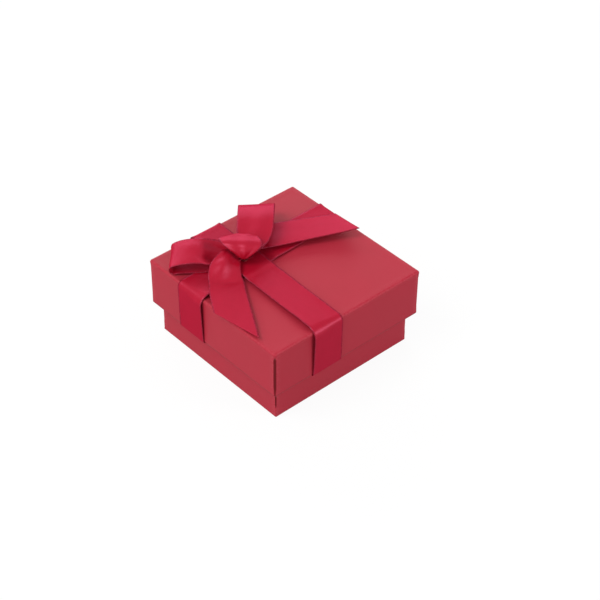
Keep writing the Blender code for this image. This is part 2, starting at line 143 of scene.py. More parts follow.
class Finish(Tree):
    """A Principled material whose varying sockets are fed by sums."""

    def __init__(self, name, **constants):
        self.material = bpy.data.materials.new(name)
        self.material.use_nodes = True
        super().__init__(self.material.node_tree)
        self.shader = self.nodes["Principled BSDF"]
        for socket, value in spaced(constants).items():
            self.shader.inputs[socket].default_value = value

    def place(self):
        """The point on the piece, in metres."""
        return self.add("ShaderNodeTexCoord", output="Object")

    def pattern(self):
        """The piece's own map: metres across the ribbon, and metres along it."""
        return self.add("ShaderNodeUVMap", {"uv_map": "pattern"})

    def axis(self, vector, name):
        return self.add("ShaderNodeSeparateXYZ", values={0: vector}, output=name)

    def stretch(self, vector, scale):
        scaling = {"operation": "MULTIPLY"}
        return self.add("ShaderNodeVectorMath", scaling, {0: vector, 1: scale})

    def noise(self, vector, grain, detail=2.0, roughness=0.5):
        """Cloudy noise from 0 to 1 whose clouds are about as wide as the grain, in metres."""
        values = {"Vector": vector, "Scale": 1 / grain, "Detail": detail, "Roughness": roughness}
        return self.add("ShaderNodeTexNoise", values=values)

    def mixed(self, share, first, second):
        """A colour between two others."""
        settings = {"data_type": "RGBA", "blend_type": "MIX"}
        colours = [c if isinstance(c, Flow) else (*c, 1.0) for c in (first, second)]
        return self.add("ShaderNodeMix", settings, {0: share, 6: colours[0], 7: colours[1]}, 2)

    def attribute(self, name):
        settings = {"attribute_type": "GEOMETRY", "attribute_name": name}
        return self.add("ShaderNodeAttribute", settings, output="Fac")

    def feed(self, socket, flow):
        self.links.new(flow.socket, self.shader.inputs[socket])

    def paint(self, share, first, second, roughness):
        """The colour between two others, and how matt it is."""
        self.feed("Base Color", self.mixed(share, first, second))
        self.feed("Roughness", roughness)

    def relief(self, height, depth):
        """Fine relief: the height, from 0 to 1, stands up by the depth in metres."""
        values = {"Height": height, "Distance": depth, "Strength": 1.0}
        bumps = self.add("ShaderNodeBump", values=values)
        self.feed("Normal", bumps)
        return bumps

    def add_lustre(self, share, bumps, **constants):
        """A second, metal-like shader over the first, for the shine of coloured threads."""
        values = {**spaced(constants), "Normal": bumps}
        lustre = self.add("ShaderNodeBsdfPrincipled", values=values)
        first = Flow(self, self.shader.outputs[0])
        both = self.add("ShaderNodeMixShader", values={0: share, 1: first, 2: lustre})
        self.links.new(both.socket, self.nodes["Material Output"].inputs["Surface"])


print("a finish can be listed")

# %% [markdown]
# ## The red covering paper
# The paper is dyed through, uncoated and finely toothed, with short fibres and slow clouds. Where
# it is folded over the board, a paler line is painted on: partly dye rubbed off, and partly a
# painted highlight on the rounded edge. A material can find such edges by itself, from the mesh's
# sharpness, but the folds are known exactly, so they are marked on the mesh. A broken noise keeps
# the paler line from looking drawn. Inside the corner slits and along the lid's rim the paper is
# painted near-black red, as painted shade.

# %% Finish of the covering paper
paper_deep, paper_light = (0.385, 0.017, 0.034), (0.445, 0.025, 0.048)
# A paler colour for the folds, partly wear and partly painted highlight, and a near-black red for
# painted shade in the slits and at the rim.
paper_worn_highlight, slit_and_rim_shade = (0.600, 0.095, 0.125), (0.150, 0.002, 0.006)
fibre_grain, tooth_grain, cloud_grain = 0.00022, 0.00009, 0.009
fibre_stretch = (1.0, 1.0, 0.55)
tooth_depth = 0.000012
paper_roughness, paper_unevenness = 0.46, 0.12
worn_highlight_share = 0.35


def make_paper():
    finish = Finish("red_paper", Metallic=0.0, Specular_IOR_Level=0.15)
    place = finish.place()
    fibres = finish.noise(finish.stretch(place, fibre_stretch), fibre_grain, 3.0, 0.6)
    clouds = finish.noise(place, cloud_grain, 3.0)
    tooth = finish.noise(place, tooth_grain)
    tone = (fibres * 0.55 + clouds * 0.75 - 0.15).at_most_one()
    worn_highlight_noise = finish.noise(place, fibre_grain * 3, 3.0)
    # Painted highlight: the paler line along the folds is partly dye rubbed off and partly a
    # painted highlight on the rounded edges.
    worn_highlight_mask = (finish.attribute("fold") * (worn_highlight_noise * 2.2 - 0.75)).at_most_one()
    dyed = finish.mixed(tone, paper_deep, paper_light)
    worn_and_lit_paper = finish.mixed(worn_highlight_mask * worn_highlight_share, dyed, paper_worn_highlight)
    roughness = clouds * paper_unevenness + paper_roughness
    # Painted shade: where the slit mark is, the paper turns near-black red, in the corner slits
    # and as a painted shadow line along the rim.
    finish.paint(finish.attribute("slit"), worn_and_lit_paper, slit_and_rim_shade, roughness)
    finish.relief(tooth * 0.5 + fibres * 0.5, tooth_depth)
    return finish.material


red_paper = make_paper()
print("made", red_paper.name)

# %% [markdown]
# ## The satin ribbon
# Satin shows long warp threads on its face, so it is streaked along its length and glossy. Its two
# edges are woven tighter, with a bead at every turn of the weft; those edges and the cut sides are
# painted dark as painted shade along the edge, with light specks on the beads as painted glints.
# Its shine takes the thread's own colour, which a clear gloss would not, so a little of a
# metal-like shader is mixed in. Each ribbon's map is in metres, so the threads keep their real
# width however it bends.

# %% Finish of the satin ribbon
ribbon_width = 0.010
satin_deep, satin_light = (0.325, 0.001, 0.010), (0.435, 0.003, 0.022)
satin_shine, satin_sheen = (1.0, 0.27, 0.44, 1.0), (1.0, 0.20, 0.36, 1.0)
# Painted shade and painted glints for the ribbon's edges: a dark red and a light pink.
selvedge_shade, selvedge_glint = (0.180, 0.002, 0.010), (0.560, 0.020, 0.060)
satin_roughness, streak_roughness, selvedge_roughness = 0.27, 0.14, 0.25
lustre_share, lustre_roughness = 0.066, 0.36
selvedge_width, cut_face_width = 0.00038, 0.00004
weft_pitch, warp_pitch, thread_depth = 0.00042, 0.00019, 0.000007
streak_grain, streak_stretch = 0.00016, (1.0, 0.035, 1.0)
satin_cloud_grain, speckle_grain = 0.0035, 0.0009


def make_satin():
    sheen = {"Sheen_Weight": 0.08, "Sheen_Roughness": 0.50, "Sheen_Tint": satin_sheen}
    finish = Finish("satin_ribbon", Metallic=0.0, Specular_IOR_Level=0.0, **sheen)
    pattern = finish.pattern()
    across, along = finish.axis(pattern, "X"), finish.axis(pattern, "Y")
    streaks = finish.noise(finish.stretch(pattern, streak_stretch), streak_grain, 2.0, 0.6)
    clouds = finish.noise(pattern, satin_cloud_grain)
    warp, weft = (
        (place * (2 * math.pi / pitch)).wave() * 0.5 + 0.5
        for place, pitch in ((across, warp_pitch), (along, weft_pitch))
    )
    from_middle = (across - ribbon_width / 2).size()
    edge = from_middle > (ribbon_width / 2 - selvedge_width)
    side = from_middle > (ribbon_width / 2 - cut_face_width)
    tone = (streaks * 0.7 + clouds * 0.5 - 0.1).at_most_one()
    body = finish.mixed(tone, satin_deep, satin_light)
    # Painted shade and glints: the edges and cut sides are darkened for the shade beside and under
    # the ribbon's edge, with light specks as painted glints on the weft beads.
    speckle_noise = (finish.noise(pattern, speckle_grain, 1.0) * 3.0 - 1.0).at_most_one()
    bead_shade_and_glint = finish.mixed(weft * speckle_noise, selvedge_shade, selvedge_glint)
    faced = finish.mixed(edge * 0.8, body, bead_shade_and_glint)
    shaded_cut_face = finish.mixed(speckle_noise * 0.5, selvedge_shade, satin_deep)
    roughness = streaks * streak_roughness + edge * selvedge_roughness + satin_roughness
    finish.paint(side, faced, shaded_cut_face, roughness)
    bumps = finish.relief(warp * (1.0 - edge) + weft * edge, thread_depth)
    tints = {"Base_Color": satin_shine, "Specular_Tint": satin_shine}
    finish.add_lustre(lustre_share, bumps, Metallic=1.0, Roughness=lustre_roughness, **tints)
    return finish.material


satin_ribbon = make_satin()
print("made", satin_ribbon.name)

# %% [markdown]
# ## Finishes that show when the box is open
# Grey board is pulp with darker specks, kraft tape is brown with straight fibres, the lining is
# white paper, foam is full of small cells, and velvet is a short black pile that goes paler
# where it is seen from the side. Photographs of each could be wrapped on, but they would blur
# close up. Each gets the same kind of sum instead, with its own grain.

# %% Finishes of the board, tape, lining, foam, velvet and glue
board_tones = (0.25, 0.225, 0.19), (0.46, 0.43, 0.385)
tape_tones = (0.36, 0.235, 0.13), (0.58, 0.43, 0.27)
lining_tones = (0.72, 0.71, 0.68), (0.84, 0.83, 0.81)
foam_tones = (0.006, 0.006, 0.007), (0.035, 0.035, 0.038)
velvet_tones = (0.004, 0.004, 0.005), (0.022, 0.022, 0.026)
velvet_sheen = (0.55, 0.56, 0.62, 1.0)
# The glue's red is the ribbon seen through it, darkened further as painted shade under the knot.
glue_and_shade_tones = (0.16, 0.012, 0.018), (0.26, 0.03, 0.035)
foam_cell, tuft_grain, brushed_grain, glue_grain = 0.00055, 0.00018, 0.006, 0.0012
foam_depth, tuft_depth, glue_depth = 0.00012, 0.00006, 0.00005


def make_fibrous(name, tones, grain, stretch, roughness, depth):
    """Pulp or paper: cloudy between two tones, with fibres drawn out by the stretch."""
    finish = Finish(name, Metallic=0.0)
    place = finish.place()
    fibres = finish.noise(finish.stretch(place, stretch), grain, 4.0, 0.65)
    clouds = finish.noise(place, grain * 14)
    tone = (fibres * 1.3 + clouds * 0.5 - 0.4).at_most_one()
    finish.paint(tone, *tones, fibres * 0.1 + roughness)
    finish.relief(fibres, depth)
    return finish.material


def make_foam():
    """Open cells: a Voronoi net whose walls stand above its pits."""
    finish = Finish("pad_foam", Metallic=0.0)
    values = {"Vector": finish.place(), "Scale": 1 / foam_cell}
    cells = finish.add("ShaderNodeTexVoronoi", {"feature": "F1"}, values, "Distance")
    finish.paint(cells, *foam_tones, cells * 0.1 + 0.85)
    finish.relief(cells, foam_depth)
    return finish.material


def make_velvet():
    """Short pile: fine noise for the tufts and a slow one where the pile is brushed."""
    sheen = {"Sheen_Weight": 0.8, "Sheen_Roughness": 0.3, "Sheen_Tint": velvet_sheen}
    finish = Finish("pad_velvet", Metallic=0.0, **sheen)
    place = finish.place()
    tufts = finish.noise(place, tuft_grain, 2.0, 0.7)
    brushed = finish.noise(place, brushed_grain)
    tone = (tufts * 0.6 + brushed * 0.6 - 0.1).at_most_one()
    finish.paint(tone, *velvet_tones, brushed * 0.1 + 0.8)
    finish.relief(tufts, tuft_depth)
    return finish.material


def make_glue():
    """Clear glue shows the red ribbon through it, and its tones are darkened as painted shade
    under the knot.
    """
    finish = Finish("clear_glue", Metallic=0.0, Specular_IOR_Level=0.25)
    flow = finish.noise(finish.place(), glue_grain)
    finish.paint(flow, *glue_and_shade_tones, flow * 0.15 + 0.25)
    finish.relief(flow, glue_depth)
    return finish.material


fibrous = {  # tones, grain, stretch, roughness and depth
    "grey_board": (board_tones, 0.00035, (1, 1, 1), 0.85, 0.00003),
    "corner_tape": (tape_tones, 0.0003, (1, 1, 0.12), 0.75, 0.00001),
    "white_lining": (lining_tones, 0.00025, (1, 1, 1), 0.75, 0.00001),
}
grey_board, corner_tape, white_lining = (make_fibrous(key, *fibrous[key]) for key in fibrous)
pad_foam = make_foam()
pad_velvet = make_velvet()
clear_glue = make_glue()
print("made", ", ".join(fibrous), "and foam, velvet and glue")

# %% [markdown]
# ## Pieces that keep their measured shape
# The board, the corner tape and the lining are flat and stiff, and already right as solids. They
# could be made anew like the paper, but nothing would be gained, so they only take a finish.

# %% Finishes on the measured nodes
node_finishes = {"board": grey_board, "corner_stay": corner_tape, "lining": white_lining}
for name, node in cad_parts.items():
    for word, material in node_finishes.items():
        if word in name:
            node.data.materials.clear()
            node.data.materials.append(material)
            print(name, "->", material.name)

# %% [markdown]
# ## From a grid of points to a piece
# Paper and ribbon are sheets, so every new piece starts as one. It could be modelled by hand,
# point by point. Here it is a table of points worked out by a formula, which can be read and
# changed. Neighbouring points make a four-sided face. Where rows or columns meet in one point, the
# doubled points are merged, so the surface has no seams. A Solidify modifier then gives the sheet
# its real thickness.

# %% Turn a grid of points into a piece
merge_distance = 0.000002


def add_object(name, data):
    thing = bpy.data.objects.new(name, data)
    bpy.context.scene.collection.objects.link(thing)
    return thing


def merge_doubles(mesh):
    work = bmesh.new()
    work.from_mesh(mesh)
    bmesh.ops.remove_doubles(work, verts=work.verts, dist=merge_distance)
    work.to_mesh(mesh)
    work.free()


def add_surface(name, points, material, pattern=None, marks=None, ring=False, flip=False):
    """points[i, j] are joined to their neighbours; a ring joins the last column to the first."""
    rows, columns = points.shape[:2]
    index = np.arange(rows * columns).reshape(rows, columns)
    if ring:
        index = np.hstack([index, index[:, :1]])
    corners = [index[:-1, :-1], index[:-1, 1:], index[1:, 1:], index[1:, :-1]]
    faces = np.stack(corners[::-1] if flip else corners, axis=-1).reshape(-1, 4)
    mesh = bpy.data.meshes.new(name)
    mesh.from_pydata(points.reshape(-1, 3).tolist(), [], faces.tolist())
    if pattern is not None:
        layer = mesh.uv_layers.new(name="pattern")
        layer.data.foreach_set("uv", pattern.reshape(-1, 2)[faces.ravel()].ravel())
    for mark, strength in (marks or {}).items():
        values = mesh.attributes.new(mark, "FLOAT", "POINT")
        values.data.foreach_set("value", strength.ravel().astype(np.float32))
    merge_doubles(mesh)
    mesh.materials.append(material)
    mesh.shade_smooth()
    return add_object(name, mesh)


def give_wall(piece, thickness, side):
    """Thickness for a sheet: side -1 behind its faces, 0 both ways, 1 in front of them."""
    wall = piece.modifiers.new("wall", "SOLIDIFY")
    wall.thickness = thickness
    wall.offset = side
    wall.use_even_offset = False


def hand_over(piece, body, node):
    """The piece moves with a body and stands for a measured node.

    Its volume is measured too: when it is positive, the faces point out.
    """
    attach(piece, body)
    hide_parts(node)
    work = bmesh.new()
    work.from_object(piece, bpy.context.evaluated_depsgraph_get())
    triangles, volume = len(work.calc_loop_triangles()), work.calc_volume(signed=True)
    print(f"{piece.name}: {triangles} triangles, {volume * 1e9:.1f} mm3")
    work.free()


print("points nearer than", merge_distance, "m are merged")

# %% [markdown]
# ## The covering paper as one folded skin
# On the real box a sheet of paper is glued over the board, folded over its edges and turned in
# round the rim. It could be a cube with bevelled edges, but the fold, the rim and the turned-in
# strip would need tools of their own. One profile holds them all: it runs from the middle of the
# closed face over the fold, along the wall, round the rim and up inside, and is carried round a
# square. A point's inset is from the wall's outer face, and its level from the closed face.

# %% The profile of the folded paper
rim_radius = 0.0003
wall_thickness = 0.00164
face_points, bend_points, wall_points, rim_points = 22, 9, 40, 5


def arc(start, end, count):
    """Even angles from start to end, given in degrees, as radians."""
    return np.linspace(math.radians(start), math.radians(end), count)


def smooth_step(value, low, high):
    """0 below low, 1 above high, and a soft rise between them."""
    share = np.clip((value - low) / (high - low), 0, 1)
    return share * share * (3 - 2 * share)


def skin_profile(half, depth, bend_radius, turn_in):
    """Each point's inset and level: face, fold, wall, rim and turned-in strip."""
    bend, rim = arc(0, 90, bend_points), arc(0, 90, rim_points)
    face = half - (half - bend_radius) * np.linspace(0, 1, face_points)
    wall = bend_radius + (depth - rim_radius - bend_radius) * np.linspace(0, 1, wall_points)
    inset = np.concatenate([
        face[:-1],
        bend_radius * (1 - np.sin(bend)),
        np.zeros(len(wall) - 2),
        rim_radius * (1 - np.cos(rim)),
        wall_thickness - rim_radius * (1 - np.sin(rim)),
        np.full(6, wall_thickness),
    ])
    level = np.concatenate([
        np.zeros(len(face) - 1),
        bend_radius * (1 - np.cos(bend)),
        wall[1:-1],
        depth - rim_radius * (1 - np.sin(rim)),
        depth - rim_radius * (1 - np.cos(rim)),
        depth - rim_radius - (turn_in - rim_radius) * np.linspace(0, 1, 7)[1:],
    ])
    return inset, level


print("points in a profile:", len(skin_profile(lid_half, lid_depth, 0.001, 0.005)[0]))

# %% [markdown]
# At each upright corner of the real box two edges of the sheet meet and leave a thin dark slit. It
# could be drawn in the material alone, but would then be missing from the mesh. So it is a narrow
# groove along the middle of each corner's small arc, with one soft side and one crisp, and the
# groove is also painted near-black red as painted shade. It opens a little below the fold, is
# widest half way, and narrows to the rim.

# %% The square and the slit at its corners
slit_depth, slit_half_angle, slit_flank = 0.00012, math.radians(40), 0.35
roll_depth, roll_angle = 0.00022, math.radians(40)
fold_reach = 0.00045
side_steps = 34
corner_degrees = (0, 6, 11, 15, *range(18, 76, 3), 79, 84, 90)


def slit_shape(opening, side):
    """How deep the slit and its soft flank are, for each row's opening and each corner angle."""
    off = (np.radians(corner_degrees) - math.radians(45))[None] * side
    cut = smooth_step(opening[:, None] - np.abs(off) / slit_half_angle, 0, slit_flank)
    flank = smooth_step(off, -roll_angle, 0) * (off < slit_half_angle / 2)
    return cut, np.maximum(slit_depth * cut, roll_depth * flank * opening[:, None])


def carry_round(half, inset, bend_radius, opening):
    """The profile carried round the square: x, y, nearness to a corner, and the slit's mark.

    A side's points lie half - inset from the middle. A corner's points lie on an arc whose
    radius shrinks with the inset and with the slit's depth there.
    """
    angle = np.radians(corner_degrees)[None]
    share = np.linspace(-1, 1, side_steps + 1)[None, 1:-1]
    flat = half - np.maximum(inset, bend_radius)[:, None]
    radius = np.maximum(bend_radius - inset, 0)[:, None]
    along_side = np.exp(-(((1 - np.abs(share)) * half / fold_reach) ** 2))
    nearness = np.hstack([along_side, np.ones_like(angle)])
    quarters = []
    for quarter in range(4):
        cut, dip = slit_shape(opening, 1 - 2 * (quarter % 2))
        spoke = radius - np.minimum(dip, radius)
        local_x = np.hstack([flat + radius + 0 * share, flat + spoke * np.cos(angle)])
        local_y = np.hstack([flat * share, flat + spoke * np.sin(angle)])
        turn = math.radians(90 * quarter)
        x = local_x * math.cos(turn) - local_y * math.sin(turn)
        y = local_x * math.sin(turn) + local_y * math.cos(turn)
        # The slit's mark paints shade into the groove.
        mark = np.hstack([0 * flat * share, cut * (radius > 0)])
        quarters.append((x, y, nearness, mark))
    return [np.hstack(part) for part in zip(*quarters)]


print("points round the square:", 4 * (side_steps - 1 + len(corner_degrees)))

# %% [markdown]
# The lid hangs from its closed face and the tray stands on its own. One function makes both, once
# downwards and once upwards, because they are the same thing on the real box. The walls bow by a
# few hundredths of a millimetre, as board does under glued paper. Two marks go to the mesh for the
# finish: where the paper is folded, which gets a paler line that is partly wear and partly painted
# highlight, and where the slit is, which gets painted shade in the slit and a painted shadow line
# along the rim.

# %% The lid's and the tray's covering paper
paper_thickness = 0.00015
slit_ramp, slit_narrowing, rim_shade = 0.0012, 0.45, 0.4
wave_depth = 0.00006
wave_rates, wave_starts = (170, 150, 210), (1.3, 0.4)  # radians per metre, radians
fold_centre = 0.3
lid_bend, tray_bend = 0.0007, 0.0004
lid_turn_in, tray_turn_in = 0.0080, 0.0110
lid_slit_start, tray_slit_start = 0.0010, 0.0030


def make_skin(body, half, depth, bend_radius, turn_in, slit_start, sign, closed_level):
    """One covering paper. sign -1 hangs the walls below the closed face, 1 stands them on it."""
    inset, level = skin_profile(half, depth, bend_radius, turn_in)
    outside = (inset < rim_radius) & (level > bend_radius)
    opening = smooth_step(level, slit_start, slit_start + slit_ramp) * outside
    opening *= 1 - slit_narrowing * smooth_step(level, depth - slit_ramp * 3, depth)
    x, y, corner, slit = carry_round(half, inset, bend_radius, opening)
    z = level[:, None] + 0 * x
    wave = np.sin(x * wave_rates[0] + wave_starts[0]) * np.sin(y * wave_rates[1] + wave_starts[1])
    wave = 1 + wave * np.cos(z * wave_rates[2] + sign)
    pull = (wave_depth / half / 2) * wave * outside[:, None]
    x, y = x * (1 - pull), y * (1 - pull)
    inner = smooth_step(inset, bend_radius, 3 * bend_radius) * (level == 0)
    z = closed_level + sign * (z + wave_depth * wave * inner[:, None])
    centre = bend_radius * fold_centre
    from_fold = np.hypot(np.maximum(level - centre, 0), inset - centre)
    over_edge = np.exp(-((from_fold / fold_reach) ** 2)) * (inset < wall_thickness)
    fold = np.maximum(over_edge[:, None], corner * outside[:, None])
    # Painted shade: the rim's row takes part of the slit's near-black red, as a painted shadow
    # line between lid and tray.
    at_rim = rim_shade * (depth - level < rim_radius) * (inset < wall_thickness)
    marks = {"fold": fold, "slit": np.maximum(slit, at_rim[:, None])}
    points = np.stack([x, y, z], axis=-1)
    skin = add_surface(f"{body}_paper", points, red_paper, marks=marks, ring=True, flip=sign < 0)
    give_wall(skin, paper_thickness, -1)
    hand_over(skin, body, f"{body}_wrap")
    return skin


lid_fold = (lid_bend, lid_turn_in, lid_slit_start)
tray_fold = (tray_bend, tray_turn_in, tray_slit_start)
lid_skin = make_skin("lid", lid_half, lid_depth, *lid_fold, -1, lid_top)
make_skin("tray", tray_half, tray_height, *tray_fold, 1, tray_low[2])

# %% [markdown]
# ## The two ribbons across the lid
# On the real box each ribbon is glued inside the rim, goes up the wall, over the lid and down the
# other side. A curve with a bevel could carry it, but a ribbon keeps its width and turns sharply.
# So it is a path in a plane whose turns are arcs of a known radius, cut into even steps and then
# drawn out to the ribbon's width.

# %% Paths with round turns
def unit(vectors):
    """The same directions, one long."""
    return vectors / np.linalg.norm(vectors, axis=-1, keepdims=True)


def distance_along(points):
    steps = np.linalg.norm(np.diff(points, axis=0), axis=1)
    return np.concatenate([[0], np.cumsum(steps)])


def rounded_path(points, radii, steps=9):
    """A flat path through the points, its corners turned into arcs of the given radii."""
    points = np.array(points, float)
    share = np.linspace(0, 1, steps)[:, None]
    path = [points[:1]]
    for before, corner, after, radius in zip(points, points[1:], points[2:], radii):
        back, ahead = unit(before - corner), unit(after - corner)
        opening = math.acos(np.clip(back @ ahead, -1, 1))
        centre = corner + unit(back + ahead) * radius / math.sin(opening / 2)
        first = corner + back * radius / math.tan(opening / 2) - centre
        last = corner + ahead * radius / math.tan(opening / 2) - centre
        path.append(centre + radius * unit(first * (1 - share) + last * share))
    return np.concatenate([*path, points[-1:]])


def even_path(path, count):
    """The same path as evenly spaced points, with the distance along it."""
    travelled = distance_along(path)
    along = np.linspace(0, travelled[-1], count)
    return np.stack([np.interp(along, travelled, line) for line in path.T], axis=-1), along


print("a right-angled path:", len(rounded_path([(0, 1), (0, 0), (1, 0)], [0.5])), "points")

# %% [markdown]
# Every ribbon on the real box is the same satin. Each shape could bring its own map and thickness,
# but one helper for all seven keeps them alike: it maps the threads in metres, gives the cloth its
# thickness, and states the flat piece it was cut from.

# %% A grid of ribbon becomes a piece
ribbon_thickness = 0.0002


def lay_ribbon(name, node, points, lengths, flat, side, flip=False):
    """lengths are the distances along the ribbon, and flat is the whole ribbon's length."""
    across = np.linspace(0, ribbon_width, points.shape[1])[None] + 0 * lengths
    pattern = np.stack([across, lengths + 0 * across], axis=-1)
    ribbon = add_surface(name, points, satin_ribbon, pattern=pattern, flip=flip)
    give_wall(ribbon, ribbon_thickness, side)
    hand_over(ribbon, "lid", node)
    flat = float(flat)
    print(f"{name}: {flat * 1000:.1f} mm of ribbon")
    return ribbon


print("ribbon", ribbon_width, "m wide and", ribbon_thickness, "m thick")

# %% [markdown]
# Neither ribbon lies tight at its first fold: one edge arches over it, as ribbon does when it is
# pulled by hand. A sculpting brush could lift that edge. Here each lengthwise line gets a path of
# its own, because the lines then run evenly from tight to loose and keep the ribbon's length.

# %% One ribbon over the lid
glue_line = 0.00008
ribbon_turn_in = 0.0045
curl_height, curl_clear = 0.00016, 0.0012
curl_from, curl_mean, curl_sway, curl_rate, curl_start = 0.55, 0.65, 0.35, 420, 9
fold_stand_off, fold_bend, fold_looseness = 0.00075, 0.0026, 0.35
band_steps, band_lines = 420, 21


def band_path(stand_off, bend):
    """From inside one rim, over the lid, to inside the other, with the top at height nought.

    At the first fold the ribbon stands off by the given distance and bends with its own radius.
    """
    inside = lid_half - wall_thickness - glue_line
    outside = lid_half + glue_line
    under = -lid_depth - glue_line
    tight, turn = lid_bend + glue_line, rim_radius + glue_line
    points = [
        (-inside, -lid_depth + ribbon_turn_in),
        (-inside, under),
        (-outside, under),
        (-outside - stand_off, glue_line + stand_off),
        (outside, glue_line),
        (outside, under),
        (inside, under),
        (inside, -lid_depth + ribbon_turn_in),
    ]
    return even_path(rounded_path(points, [turn, turn, bend, tight, turn, turn]), band_steps)


def edge_curl(path, across):
    """Which way and how far each edge stands off: outward from the path, only near the edges."""
    ahead = unit(np.gradient(path, axis=0))
    run, rise = path[:, :, 0], path[:, :, 1]
    outside = smooth_step(rise, -lid_depth + curl_clear, -lid_depth + 2 * curl_clear)
    loose = curl_mean + curl_sway * np.sin(run * curl_rate + curl_start * np.sign(across))
    lift = curl_height * smooth_step(np.abs(across), curl_from, 1) ** 2 * loose * outside
    return -ahead[:, :, 1] * lift, ahead[:, :, 0] * lift


def make_band(name, node, offset, slope, runs_deep, lift):
    """Each lengthwise line has its own path, from tight to loose at the fold, then its curl."""
    across = np.linspace(-1, 1, band_lines)
    looseness = fold_looseness + (1 - fold_looseness) * smooth_step(-across, -1, 1)
    tight = lid_bend + glue_line
    lines = [band_path(fold_stand_off * s, tight + (fold_bend - tight) * s) for s in looseness]
    path, along = (np.stack(part, axis=1) for part in zip(*lines))
    curl_run, curl_rise = edge_curl(path, across)
    run = path[:, :, 0] + curl_run
    rise = lift(run, path[:, :, 1] + curl_rise)
    aside = offset + slope * np.clip(run, -lid_half, lid_half) + across * ribbon_width / 2
    order = (aside, run, lid_top + rise) if runs_deep else (run, aside, lid_top + rise)
    points, length = np.stack(order, axis=-1), along[-1].mean()
    return lay_ribbon(name, node, points, along, length, 1, not runs_deep)


print(f"a tight ribbon: {band_path(0, lid_bend + glue_line)[1][-1] * 1000:.1f} mm")

# %% [markdown]
# In the photograph the long ribbon lies over the cross ribbon. Both could follow one path and
# overlap, but then their faces would flicker through each other. So the long ribbon climbs by
# one ribbon's thickness, and the cross ribbon's edges are flat where it is pressed down.

# %% The long ribbon and the cross ribbon
long_band_offset, long_band_slope = -0.0071, 0.029
cross_band_offset, cross_band_slope = 0.0084, 0.022
crossing_ramp = 0.0022


def within(place, half, ramp):
    """1 nearer than half to the middle, and nought past the ramp beyond it."""
    return 1 - smooth_step(np.abs(place), half, half + ramp)


def crossing(run, offset, slope):
    """1 where the other ribbon lies, and nought away from it."""
    return within(run - offset, ribbon_width / 2 + slope * lid_half, crossing_ramp)


def lift_cross(run, rise):
    """The cross ribbon lies on the lid, and the long one presses its curled edges flat."""
    pressed = crossing(run, long_band_offset, long_band_slope)
    return rise - pressed * np.maximum(rise - glue_line, 0)


def lift_long(run, rise):
    """Over the cross ribbon, by that ribbon's thickness."""
    over = crossing(run, cross_band_offset, cross_band_slope)
    return rise + over * smooth_step(rise, -lid_bend, 0) * (ribbon_thickness + glue_line)


long_way = (long_band_offset, long_band_slope, True, lift_long)
long_band = make_band("ribbon_front_to_back", "ribbon_long_band", *long_way)
cross_way = (cross_band_offset, cross_band_slope, False, lift_cross)
cross_band = make_band("ribbon_left_to_right", "ribbon_cross_band", *cross_way)

# %% [markdown]
# ## Ribbon that loops and hangs
# A loop or a tail is again one strip of satin, but its middle line bends freely and its width
# turns with it. A cloth simulation could drape it, but wouldn't stop where the photographed bow
# lies. So the line is a smooth curve through a few stations, set where the bow has them. A station
# also says how wide the ribbon looks there, how it rolls and yaws, how it crowns, and how deep its
# pleats are, because near the knot the width is gathered up.

# %% A smooth curve through stations, and the strip round it
bow_place = np.array([long_band_offset, cross_band_offset, lid_top])
fine_steps = 40


def smooth_stations(stations, count):
    """A curve that passes through every station with matching slopes, evenly spaced along."""
    ends = np.vstack([2 * stations[0] - stations[1], stations, 2 * stations[-1] - stations[-2]])
    spans = len(stations) - 1

    def at(place):
        start = np.minimum(place.astype(int), spans - 1)
        t = (place - start)[:, None]
        a, b, c, d = (ends[start + step] for step in range(4))
        bend = (2 * a - 5 * b + 4 * c - d) * t**2 + (3 * b - a - 3 * c + d) * t**3
        return (2 * b + (c - a) * t + bend) / 2

    fine = np.linspace(0, spans, fine_steps * count)
    travelled = distance_along(at(fine)[:, :3])
    along = np.linspace(0, travelled[-1], count)
    return at(np.interp(along, travelled, fine)), along


def heading_axes(degrees):
    """Rows: level along a heading, level to its left, and straight up."""
    turn = math.radians(degrees)
    cos, sin = math.cos(turn), math.sin(turn)
    return np.array([[cos, sin, 0], [-sin, cos, 0], [0, 0, 1]])


def strip_frame(route, axes):
    """From stations of the middle line: the middle, half the width as a vector, and the normal."""
    middle = bow_place + route[:, :3] @ axes
    tangent = unit(np.gradient(middle, axis=0))
    roll, yaw = np.radians(route[:, 4:5]), np.radians(route[:, 5:6])
    level = axes[1] * np.cos(yaw) - axes[0] * np.sin(yaw)
    level = unit(level - tangent * (level * tangent).sum(axis=1, keepdims=True))
    width = level * np.cos(roll) + np.cross(tangent, level) * np.sin(roll)
    return middle, width * route[:, 3:4] / 2, np.cross(tangent, width)


def edge_frame(route, axes):
    """The same three, from stations of the two edges."""
    left, right = bow_place + route[:, :3] @ axes, bow_place + route[:, 3:6] @ axes
    middle, half = (left + right) / 2, (right - left) / 2
    return middle, half, unit(np.cross(np.gradient(middle, axis=0), half))


def strip_points(middle, half, normal, crown, pleat, along, lines, pleat_count, pleat_sway):
    """Points = middle + half width * share + normal * (crown * (1 - share^2) + pleats)."""
    share = np.linspace(-1, 1, lines)
    turned = along[:, None] / along[-1]
    wave = np.cos(math.pi * (pleat_count * share + pleat_sway * turned))
    lift = (crown * (1 - share**2) + pleat * wave)[:, :, None]
    return middle[:, None] + half[:, None] * share[:, None] + normal[:, None] * lift


print("the bow is tied at", bow_place)

# %% [markdown]
# The tails end in a slanted cut. A Boolean could cut the end off, but its edge would need new
# faces. Here each lengthwise line simply stops a little sooner than its neighbour.

# %% A loop or a tail
millimetre = 0.001
station_scale = np.array([millimetre] * 4 + [1, 1] + [millimetre] * 2)
strip_steps, strip_lines = 150, 29
bow_pleats = (1.6, 1.5)


